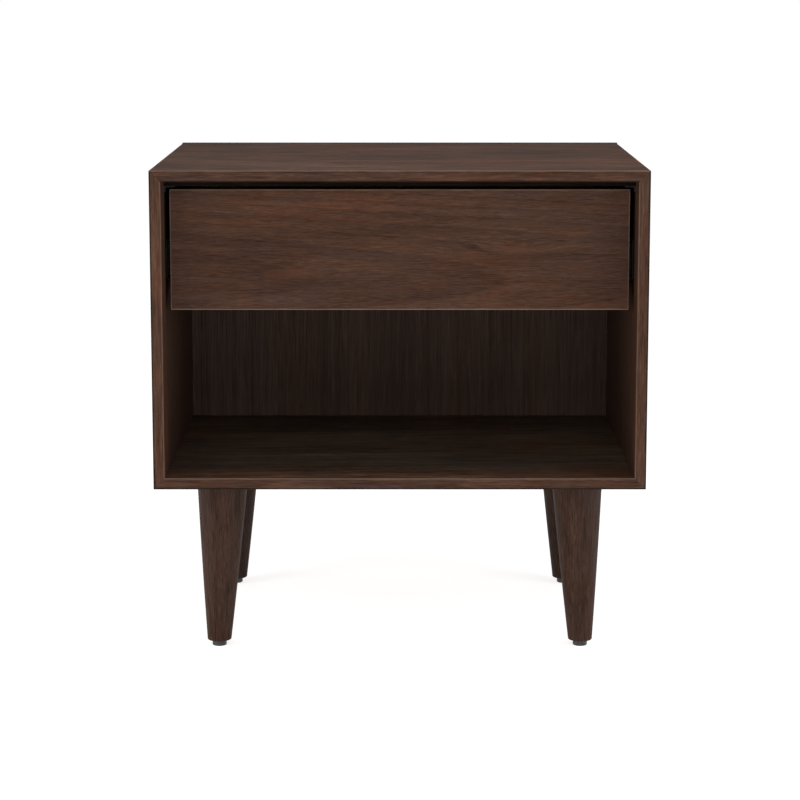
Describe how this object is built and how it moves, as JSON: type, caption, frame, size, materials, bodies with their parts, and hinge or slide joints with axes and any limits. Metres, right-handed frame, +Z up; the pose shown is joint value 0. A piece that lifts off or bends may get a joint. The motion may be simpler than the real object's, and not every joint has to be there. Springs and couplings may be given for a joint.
{
  "type": "nightstand",
  "caption": "Nightstand: mitred box case on round tapered legs, with a recessed handle-less drawer above an open niche.",
  "frame": {"origin": "on the floor, under the middle of the case", "axes": "+X to the viewer's right, +Y from the open front to the back, +Z up; the drawer opens towards -Y"},
  "size_m": [0.56, 0.43, 0.564],
  "materials": {
    "walnut": "satin dark walnut stain",
    "walnut_face": "satin dark walnut stain, horizontal grain",
    "walnut_leg": "satin dark walnut stain on turned wood",
    "drawer_wood": "clear satin lacquer",
    "plywood": "clear satin lacquer",
    "grey_steel": "dull grey coat",
    "black_steel": "black electro-coat",
    "steel": "plain bright steel",
    "brass": "machined",
    "glide_plastic": "matte dark grey"
  },
  "bodies": {
    "case": {"top_panel": "walnut", "bottom_panel": "walnut", "side_left": "walnut", "side_right": "walnut", "back_panel": "walnut", "front_rail": "walnut", "corner_splines": "plywood", "rail_screws": "steel", "rail_brackets": "grey_steel", "bracket_screws": "steel", "leg_front_left": "walnut_leg", "leg_front_right": "walnut_leg", "leg_rear_left": "walnut_leg", "leg_rear_right": "walnut_leg", "leg_inserts": "brass", "hanger_bolts": "steel", "glide_front_left": "glide_plastic", "glide_front_right": "glide_plastic", "glide_rear_left": "glide_plastic", "glide_rear_right": "glide_plastic", "glide_nails": "steel", "slide_case_left": "black_steel", "slide_case_right": "black_steel", "slide_case_screws": "steel"},
    "drawer": {"drawer_face": "walnut_face", "box_front": "drawer_wood", "box_back": "drawer_wood", "box_side_left": "drawer_wood", "box_side_right": "drawer_wood", "box_bottom": "plywood", "face_screws": "steel", "slide_drawer_left": "black_steel", "slide_drawer_right": "black_steel", "slide_drawer_screws": "steel"},
    "middle_left": {"slide_middle_left": "black_steel"},
    "middle_right": {"slide_middle_right": "black_steel"},
    "outer_cage_left": {"cage_outer_left": "steel", "balls_outer_left": "steel"},
    "outer_cage_right": {"cage_outer_right": "steel", "balls_outer_right": "steel"},
    "inner_cage_left": {"cage_inner_left": "steel", "balls_inner_left": "steel"},
    "inner_cage_right": {"cage_inner_right": "steel", "balls_inner_right": "steel"}
  },
  "joints": [
    {"name": "drawer_slide", "type": "slide", "parent": "case", "child": "drawer", "axis": [0, -1, 0], "range_m": [0, 0.3]},
    {"name": "middle_left_slide", "type": "slide", "parent": "case", "child": "middle_left", "axis": [0, -1, 0], "range_m": [0, 0.15]},
    {"name": "middle_right_slide", "type": "slide", "parent": "case", "child": "middle_right", "axis": [0, -1, 0], "range_m": [0, 0.15]},
    {"name": "outer_cage_left_slide", "type": "slide", "parent": "case", "child": "outer_cage_left", "axis": [0, -1, 0], "range_m": [0, 0.075]},
    {"name": "outer_cage_right_slide", "type": "slide", "parent": "case", "child": "outer_cage_right", "axis": [0, -1, 0], "range_m": [0, 0.075]},
    {"name": "inner_cage_left_slide", "type": "slide", "parent": "case", "child": "inner_cage_left", "axis": [0, -1, 0], "range_m": [0, 0.225]},
    {"name": "inner_cage_right_slide", "type": "slide", "parent": "case", "child": "inner_cage_right", "axis": [0, -1, 0], "range_m": [0, 0.225]}
  ],
  "couplings": [
    {"joint": "middle_left_slide", "follows": "drawer_slide", "ratio": 0.5},
    {"joint": "middle_right_slide", "follows": "drawer_slide", "ratio": 0.5},
    {"joint": "outer_cage_left_slide", "follows": "drawer_slide", "ratio": 0.25},
    {"joint": "outer_cage_right_slide", "follows": "drawer_slide", "ratio": 0.25},
    {"joint": "inner_cage_left_slide", "follows": "drawer_slide", "ratio": 0.75},
    {"joint": "inner_cage_right_slide", "follows": "drawer_slide", "ratio": 0.75}
  ]
}
